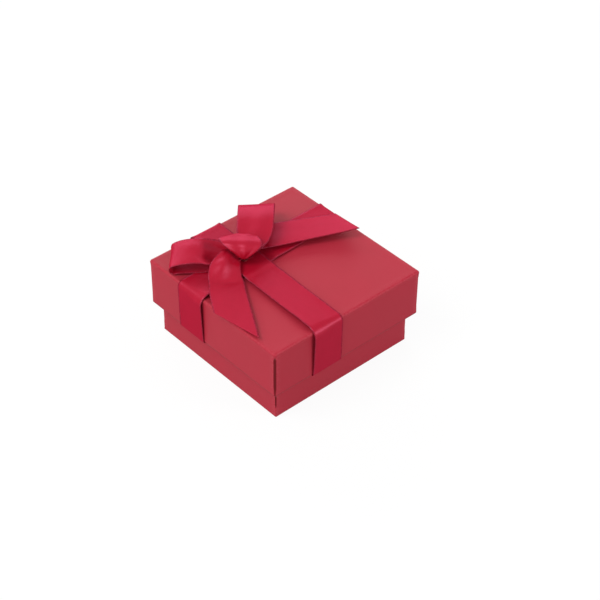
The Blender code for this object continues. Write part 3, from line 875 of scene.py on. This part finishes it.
def slant_end(points, along, slant):
    """Each lengthwise line stops short by its own amount, so the end is cut at a slant."""
    last = len(along) - 1
    shorter = abs(slant) - slant * np.linspace(-1, 1, points.shape[1])
    wanted = np.arange(last + 1)[:, None] * (1 - shorter[None] / along[-1])
    low = np.minimum(wanted.astype(int), last - 1)
    part = (wanted - low)[:, :, None]
    column = np.arange(points.shape[1])[None]
    cut = points[low, column] * (1 - part) + points[low + 1, column] * part
    return cut, wanted / last * along[-1]


def make_bow_ribbon(name, node, stations, heading, cut_degrees=0, by_edges=False):
    """One ribbon of the bow from its stations. Its heading and its cut are in degrees."""
    scale = millimetre if by_edges else station_scale
    route, along = smooth_stations(np.array(stations) * scale, strip_steps)
    shape = (edge_frame if by_edges else strip_frame)(route, heading_axes(heading))
    swell = (route[:, 6:7], route[:, 7:8])
    points = strip_points(*shape, *swell, along, strip_lines, *bow_pleats)
    slant = math.tan(math.radians(cut_degrees)) * ribbon_width / 2
    points, lengths = slant_end(points, along, slant)
    lay_ribbon(name, node, points, lengths, along[-1], 0)


print("each strip has", strip_steps, "by", strip_lines, "points")

# %% [markdown]
# ## The bow's two loops
# A loop of the real bow starts inside the knot, runs out, turns over at its far end and comes back
# underneath. It could be a bent plane, but the function above makes it from a table. A station
# reads: along the heading, aside, rise and width in millimetres, roll and yaw in degrees, then
# crown and pleat depth in millimetres.

# %% The left loop and the back loop
left_loop_stations = [
    (0.5, 0, 2.7, 4, 0, 0, -0.3, 0.25),
    (2.6, 0.1, 2.6, 6.2, -8, 0, -0.9, 0.4),
    (5.2, -0.1, 3, 8.6, -14, -2, -1.5, 0.45),
    (7.6, -0.3, 3.6, 9.7, -11, -5, -1.7, 0.4),
    (9.6, -0.5, 4, 10, -9, -7, -1.1, 0.28),
    (11.8, -0.7, 4.3, 10, -6, -10, 0.1, 0.16),
    (14.2, -1, 4.3, 10, -5, -12, 0.4, 0.08),
    (17, -1.2, 3.9, 10, -5, -14, 0.2, 0.03),
    (19.2, -1.2, 3.1, 10, -4, -14, 0, 0),
    (19.7, -1.2, 2, 10, -2, -13, 0, 0),
    (18.6, -1.3, 1, 10, 0, -14, 0, 0),
    (15, -1.2, 0.85, 10, 3, -14, 0, 0.02),
    (10.5, -0.9, 1.1, 10, 6, -12, 0, 0.05),
    (6.5, -0.8, 1.5, 8.4, 6, -6, 0.1, 0.15),
    (3, -0.6, 1.7, 5, 0, 0, 0, 0.2),
    (0.8, -0.2, 1.8, 3.6, 0, 0, 0, 0.2),
]
back_loop_stations = [
    (0.6, -0.8, 3.6, 4.6, 0, 0, 0.1, 0.2),
    (2.4, -1.8, 4.3, 6.8, 0, 0, 0.2, 0.3),
    (4.6, -2.5, 5, 8.9, 0, 1, 0.1, 0.26),
    (7.5, -2.8, 5.6, 9.9, 0, 3, 0.1, 0.16),
    (12, -2.9, 6, 10.2, 0, 5, 0.1, 0.06),
    (17, -2.9, 5.5, 10.2, 0, 5, 0, 0),
    (20, -2.9, 4.3, 10.2, 0, 5, 0, 0),
    (20.1, -2.9, 3.1, 10.2, 0, 4, 0, 0),
    (17.2, -2.7, 2.5, 10, 0, 2, 0, 0),
    (11, -2.3, 2.4, 9.6, 0, 0, 0, 0.05),
    (6.2, -1.7, 2.6, 7.6, 0, 0, 0, 0.15),
    (2.4, -0.8, 2.9, 5, 0, 0, 0, 0.2),
    (0.8, -0.3, 3, 4.2, 0, 0, 0, 0.2),
]
make_bow_ribbon("bow_left_loop", "bow_loop_left", left_loop_stations, 147)
make_bow_ribbon("bow_back_loop", "bow_loop_back", back_loop_stations, 48)

# %% [markdown]
# ## The bow's two tails
# The front tail crests as it leaves the knot, falls steeply and lies on the lid, near the front
# left edge. The right tail runs low over the lid and rises a little at its end. Both are cut with
# scissors, at unlike angles. A middle line with a roll could carry both, but the front tail twists
# too much for it. So its stations place its two edges: along, aside and rise of the left edge, the
# same of the right edge, then crown and pleat depth.

# %% The front tail and the right tail
front_tail_stations = [
    (-0.6, -4.4, 4.2, 0.3, -0.6, 1.7, 0, 0.05),
    (0.5, -5.75, 5, 0.8, -1.2, 1.8, 0.2, 0.1),
    (1.7, -7.1, 4.95, 2, -1.4, 1.85, 0.6, 0.2),
    (3, -8.5, 4.4, 3.4, -1.55, 1.8, 1.1, 0.28),
    (5, -9.8, 3.85, 5.2, -1.75, 1.6, 1.3, 0.28),
    (7.5, -10.7, 3, 7.5, -1.75, 0.95, 0.5, 0.16),
    (9.3, -10.85, 2.2, 9.3, -1.45, 0.85, -0.4, 0.06),
    (11.3, -11, 1.6, 11.3, -1.4, 0.95, -0.28, 0.02),
    (14, -11.2, 1.2, 14, -1.4, 0.95, -0.06, 0),
    (24, -11, 1, 24, -1, 0.95, 0, 0),
    (33, -10.8, 1.1, 33, -0.8, 1.1, 0, 0),
]
right_tail_stations = [
    (0.2, 0.6, 2.4, 4.2, 0, 0, 0.2, 0.2),
    (1.2, 1.6, 2.6, 5.2, 0, 0, 0.2, 0.2),
    (3.4, 3.9, 2.6, 7.8, 0, 0, 0.2, 0.15),
    (6.5, 5.8, 2.2, 9.6, 0, 0, 0.15, 0.08),
    (12, 6.3, 1.9, 10, 0, 0, 0, 0.03),
    (20, 6.2, 1.8, 10, -3, 0, 0, 0),
    (28, 5.6, 2.1, 10, -6, 0, 0, 0),
    (33.8, 5, 2.7, 10, -8, 0, 0, 0),
]
make_bow_ribbon(
    "bow_front_tail", "bow_tail_front", front_tail_stations, 238, 50, by_edges=True
)
make_bow_ribbon("bow_right_tail", "bow_tail_right", right_tail_stations, -23, -24)

# %% [markdown]
# ## The knot
# The knot is the same ribbon once more, wrapped over the gathered loops and tails and tucked in
# below. Seen from the front it is a bright slanted strip with a pointed left tip. A ball would
# be a quick stand-in, but it has no edges and no layers. So this is a wrap: its stations give
# its way in the plane across the knot, where its left and right edges lie, crown and pleats.

# %% The wrap of ribbon over the middle
knot_heading = -42
knot_steps, knot_lines = 120, 41
knot_pleats = (2.4, 2.5)
knot_stations = [
    (0.6, 1.1, -2.3, 2.3, 0, 0.05),
    (3, 1.4, -2.6, 2.5, 0.2, 0.1),
    (4.3, 2.6, -2.6, 2.5, 0.6, 0.1),
    (4.5, 4.1, -3, 3, 0.7, 0.1),
    (4.1, 5.3, -3.9, 3.3, 0.7, 0.08),
    (3.1, 6.02, -5.4, 3.7, 0.5, 0.06),
    (1.9, 6.32, -6.8, 4.2, 0.35, 0.05),
    (0.8, 6.55, -6.6, 4.6, 0.3, 0.05),
    (-0.1, 6.62, -6.2, 4.9, 0.35, 0.06),
    (-0.9, 6.5, -5.6, 4.9, 0.4, 0.08),
    (-1.55, 6.15, -4.7, 4.6, 0.45, 0.1),
    (-2.1, 5.55, -3.6, 3.8, 0.45, 0.12),
    (-2.45, 4.8, -2.5, 2.8, 0.4, 0.12),
    (-2.68, 4, -1.4, 1.6, 0.3, 0.1),
    (-2.7, 3.2, -0.4, 0.5, 0.1, 0.05),
    (-1.8, 2.6, -0.9, 0.9, 0, 0),
    (-0.7, 1.8, -1.8, 1.8, 0, 0),
    (0.3, 1.2, -2.3, 2.3, 0, 0),
]


def make_knot():
    """The wrap's way bends in one plane, and its width lies along the knot's heading."""
    stations = np.array(knot_stations)[:, [0, 1, 4, 2, 3, 5]] * millimetre
    route, _ = smooth_stations(stations, knot_steps)
    deep, rise, crown, left, right, pleat = (route[:, k : k + 1] for k in range(6))
    axes = heading_axes(knot_heading)
    middle = bow_place + np.hstack([(left + right) / 2, deep, rise]) @ axes
    half = (right - left) / 2 * axes[0]
    slope = unit(np.gradient(route[:, :2], axis=0))
    normal = slope[:, 1:2] * axes[1] - slope[:, :1] * axes[2]
    along = distance_along(route[:, :2])
    points = strip_points(middle, half, normal, crown, pleat, along, knot_lines, *knot_pleats)
    rows, length, under = along[:, None], along[-1], [long_band]
    lay_ribbon("bow_knot_wrap", "bow_knot", points, rows, length, 1, flip=True)


make_knot()

# %% [markdown]
# A dot of hot glue holds the bow down, and almost all of it is hidden under the knot. It could
# be a squashed sphere. Here it is a low dome carried round its middle, because a few waves in
# its radius then show that the ribbon has pressed it out a little unevenly.

# %% The dot of glue under the knot
glue_radius = 0.0011
glue_waves = ((0.06, 3, 0.4), (0.04, 5, 0.0))


def make_glue_bead():
    """radius = share * (even + a few waves), height = a dome over it, closed below."""
    low, high = box_of("bow_glue_dot")
    middle, turn = (low + high) / 2, np.linspace(0, 2 * math.pi, 33)[None, :-1]
    waves = 1 + sum(swell * np.sin(count * turn + start) for swell, count, start in glue_waves)
    radius = glue_radius * np.sin(arc(0, 180, 15))[:, None] * waves
    dome = np.cos(arc(0, 180, 15))[:, None] + 0 * turn
    z = middle[2] + (high[2] - low[2]) / 2 * dome
    x, y = middle[0] + radius * np.cos(turn), middle[1] + radius * np.sin(turn)
    return add_surface("glue_bead", np.stack([x, y, z], -1), clear_glue, ring=True, flip=True)


hand_over(make_glue_bead(), "lid", "bow_glue_dot")

# %% [markdown]
# ## The ring pad
# Under the lid lies a block of soft foam, cut a little proud so that it swells between its
# corners, with a slit that grips the ring. A cube with a bevel would look too stiff. So the foam
# is a rounded square carried down from the middle of its top to the middle of its underside, drawn
# in at its waist. Only the slit is cut out with a Boolean, as a knife does.

# %% The foam block
pad_half = foam_high[0]
pad_height = 0.0130
pad_edge = foam_low[2] + pad_height
pad_crown, crown_clearance = foam_high[2] - pad_edge, 0.0002
pad_round, pad_waist = 0.0011, 0.0002
slit_length, slit_width, slit_reach = 0.022, 0.0012, 0.009
sharp_angle = math.radians(40)


def crowned(x, y, half, height):
    """Nought along the edges and full in the middle, like a pillow."""
    deep = np.clip(1 - (x / half) ** 2, 0, 1) * np.clip(1 - (y / half) ** 2, 0, 1)
    return height * np.sqrt(deep)


def make_foam_block():
    """The profile's top half is the face and the rounding, and its lower half mirrors them."""
    bend = arc(0, 90, 7)
    face = pad_half - (pad_half - pad_round) * np.linspace(0, 1, 24)[:-1]
    inset = np.concatenate([face, pad_round * (1 - np.sin(bend))])
    level = np.concatenate([0 * face, pad_round * (1 - np.cos(bend))])
    wall = np.linspace(pad_round, pad_height - pad_round, 18)[1:-1]
    waist = pad_waist * np.sin(math.pi * (wall - pad_round) / (pad_height - 2 * pad_round))
    inset = np.concatenate([inset, waist, inset[::-1]])
    level = np.concatenate([level, wall, pad_height - level[::-1]])[:, None]
    x, y, _, _ = carry_round(pad_half, inset, pad_round, 0 * inset)
    swell = (level < pad_round) * crowned(x, y, pad_half, pad_crown - crown_clearance)
    points = np.stack([x, y, pad_edge - level + swell], axis=-1)
    return add_surface("ring_pad_block", points, pad_foam, ring=True)


def cut_slit(block):
    """Takes the slit out of the block, and keeps the result as the block's own mesh."""
    middle = pad_edge + pad_crown - slit_reach / 2
    size = Matrix.Diagonal((slit_length, slit_width, slit_reach + pad_crown, 1))
    room, work = bpy.data.meshes.new("slit"), bmesh.new()
    bmesh.ops.create_cube(work, size=1, matrix=Matrix.Translation((0, 0, middle)) @ size)
    work.to_mesh(room)
    work.free()
    cutter = add_object("slit", room)
    cut = block.modifiers.new("slit", "BOOLEAN")
    cut.operation, cut.solver, cut.object = "DIFFERENCE", "EXACT", cutter
    evaluated = block.evaluated_get(bpy.context.evaluated_depsgraph_get())
    result = bpy.data.meshes.new_from_object(evaluated)
    block.modifiers.clear()
    block.data = result
    result.set_sharp_from_angle(angle=sharp_angle)
    bpy.data.objects.remove(cutter, do_unlink=True)


foam_block = make_foam_block()
cut_slit(foam_block)
hand_over(foam_block, "ring_pad", "ring_pad_foam")

# %% [markdown]
# Velvet is glued on top of the foam and dips into the slit. A plain grid would need far too
# many lines to bend that sharply, so this grid's lines crowd together at the slit. There the
# sheet dips along a formula that is nought outside the slit and full in its middle, and at its
# edges it rolls over the foam's rounding.

# %% The velvet face
velvet_thickness, velvet_wall, velvet_clearance = 0.0005, 0.00035, 0.0001
velvet_half = velvet_high[0] - velvet_clearance
velvet_dip, velvet_crown_share = 0.0034, 0.9
velvet_roll, velvet_roll_width = 0.0008, 0.0022
mouth_x, mouth_y = slit_length / 2, slit_width / 4
# Reach, ramp and steps of the grid's lines; then half width and ramp of the dip.
lines_x, lines_y = (mouth_x, 0.0004, 24), (mouth_y, 0.00025, 40)
dip_x, dip_y = (mouth_x - 0.0012, 0.0015), (mouth_y - 0.00025, 0.00075)
brow_height, brow_place, brow_width = 0.000105, 0.0012, 0.0011


def slit_lines(reach, ramp, steps):
    """Places across the face: even outside the slit, and crowded where it dips."""
    outer = np.linspace(-velvet_half, -reach - ramp, steps)
    slope = np.linspace(-reach - ramp, -reach + ramp, 9)[1:]
    inner = np.linspace(-reach + ramp, 0, max(steps // 3, 3))[1:]
    left = np.concatenate([outer, slope, inner])
    return np.concatenate([left, -left[::-1][1:]])


def round_corners(x, y, half):
    """Past each corner's centre a point keeps its longer way out, but along a circle."""
    centre = half - pad_round
    out_x, out_y = np.maximum(np.abs(x) - centre, 0), np.maximum(np.abs(y) - centre, 0)
    share = np.maximum(out_x, out_y) / np.maximum(np.hypot(out_x, out_y), merge_distance)
    near_x, near_y = np.minimum(np.abs(x), centre), np.minimum(np.abs(y), centre)
    return np.sign(x) * (near_x + out_x * share), np.sign(y) * (near_y + out_y * share)


def make_velvet_face():
    """z = base + crown - dip into the slit - roll at the edges + a low brow along the slit."""
    x, y = np.meshgrid(slit_lines(*lines_x), slit_lines(*lines_y), indexing="ij")
    in_x, in_y = within(x, *dip_x), within(y, *dip_y)
    brow = brow_height * np.exp(-(((np.abs(y) - brow_place) / brow_width) ** 2)) * in_x
    edge = np.maximum(np.abs(x), np.abs(y))
    rolled = velvet_roll * smooth_step(edge, velvet_half - velvet_roll_width, velvet_half) ** 2
    base = velvet_high[2] - velvet_thickness - pad_crown
    crown = crowned(x, y, velvet_half, pad_crown * velvet_crown_share)
    z = base + crown - velvet_dip * in_x * in_y - rolled + brow
    points = np.stack([*round_corners(x, y, velvet_half), z], axis=-1)
    face = add_surface("ring_pad_velvet_face", points, pad_velvet, flip=True)
    give_wall(face, velvet_wall, 1)
    return face


velvet_face = make_velvet_face()
hand_over(velvet_face, "ring_pad", "ring_pad_velvet")

# %% [markdown]
# ## The floor
# The box was photographed on white, with only a trace of its shadow. A brightly lit white floor
# would throw too much light back on the box. So the floor is painted a plain grey, and a Light
# Path node gives most of it a white glow that only the camera, gloss and clear things see.

# %% The floor
floor_half, floor_gap = 3.0, 0.00005
floor_glow_share, floor_glow = 0.86, 1.08
floor_level = tray_low[2] - floor_gap
white, grey = (1, 1, 1, 1), (0.50, 0.50, 0.50, 1)


def split_by_rays(owner, plain, seen, share, ending):
    """The seen shader, by its share, is for rays from the camera, off gloss or through glass."""
    owner.use_nodes = True
    owner.node_tree.nodes.clear()
    tree = Tree(owner.node_tree)
    first, second = (tree.add(kind, values=values) for kind, values in (plain, seen))
    kinds = ("Is Camera Ray", "Is Glossy Ray", "Is Transmission Ray")
    camera, gloss, clear = (tree.add("ShaderNodeLightPath", output=kind) for kind in kinds)
    ray = camera.or_more(gloss).or_more(clear)
    mix = tree.add("ShaderNodeMixShader", values={0: ray * share, 1: first, 2: second})
    tree.links.new(mix.socket, tree.nodes.new(ending).inputs["Surface"])


def make_floor():
    mesh = bpy.data.meshes.new("floor")
    corners = [(-1, -1), (1, -1), (1, 1), (-1, 1)]
    points = [(x * floor_half, y * floor_half, floor_level) for x, y in corners]
    mesh.from_pydata(points, [], [(0, 1, 2, 3)])
    material = bpy.data.materials.new("floor_white")
    paint = ("ShaderNodeBsdfDiffuse", {"Color": grey})
    glow = ("ShaderNodeEmission", {"Color": white, "Strength": floor_glow})
    split_by_rays(material, paint, glow, floor_glow_share, "ShaderNodeOutputMaterial")
    mesh.materials.append(material)
    return add_object("floor", mesh)


make_floor()
print("floor at", floor_level)

# %% [markdown]
# ## The sky and the lamps
# A studio lights such a box with large soft boxes, the strongest from the upper left, so its right
# wall stays darker. Square area lamps do the same here, and a plain sky fills the shadows. The sky
# alone would be simpler, but it shows no forms: the two low lamps behind the box are what makes
# the knot, the folds and the loops shine.

# %% The sky and the lamps
sky_light = 0.47
lamps = {  # place, size and power
    "key": ((-0.62, 0.20, 0.85), 0.50, 5.4),
    "side": ((-0.95, -0.15, 0.30), 0.45, 2.7),
    "fill": ((0.50, -0.90, 0.42), 0.45, 4.5),
    "back": ((0.25, 0.90, 0.32), 0.50, 3.2),
    "rear": ((0.64, 0.72, 0.30), 0.40, 2.0),
}


def make_sky():
    """Even soft light from all round, which the camera and reflections see as plain white."""
    world = bpy.data.worlds.new("studio")
    bpy.context.scene.world = world
    even, plain = (
        ("ShaderNodeBackground", {"Color": white, "Strength": light}) for light in (sky_light, 1)
    )
    split_by_rays(world, even, plain, 1, "ShaderNodeOutputWorld")


def add_lamp(name, place, size, power):
    """A square soft box aimed at the lid."""
    lamp = bpy.data.lights.new(name, "AREA")
    lamp.shape, lamp.size, lamp.energy = "SQUARE", size, power
    light = add_object(name, lamp)
    light.location = place
    aim = Vector((0, 0, float(lid_top))) - Vector(place)
    light.rotation_euler = aim.to_track_quat("-Z", "Y").to_euler()


make_sky()
for name, facts in lamps.items():
    add_lamp(name, *facts)
print("lamps:", ", ".join(lamps))

# %% [markdown]
# ## The camera
# The photograph was taken from 42 degrees round to the left of the front and 40 degrees up. The
# camera could be turned by eye until the picture looks the same. These numbers come from a fit
# of the lid's and the tray's corners instead, which also gives the distance and the long lens.

# %% The camera
view_azimuth, view_elevation, view_roll = (math.radians(turn) for turn in (-41.95, 39.92, 0.49))
view_across, view_up, view_distance = 0.00434, -0.00195, 0.45857
target_height = 0.015
focal_pixels, image_pixels, sensor_width = 1673.7, 600, 36.0


def make_camera():
    """Turned round the box, tipped down, moved back along its own view, and rolled a little."""
    data = bpy.data.cameras.new("camera")
    data.sensor_width = sensor_width
    data.lens = focal_pixels / image_pixels * sensor_width
    data.clip_start, data.clip_end = 0.01, 20
    camera = add_object("camera", data)
    camera.matrix_world = (
        Matrix.Translation((0, 0, target_height))
        @ Matrix.Rotation(view_azimuth, 4, "Z")
        @ Matrix.Rotation(math.pi / 2 - view_elevation, 4, "X")
        @ Matrix.Translation((view_across, view_up, view_distance))
        @ Matrix.Rotation(view_roll, 4, "Z")
    )
    bpy.context.scene.camera = camera
    return camera


camera = make_camera()
bpy.context.scene.view_settings.view_transform = "Standard"
print(f"lens {camera.data.lens:.1f} mm at {view_distance * 1000:.0f} mm")
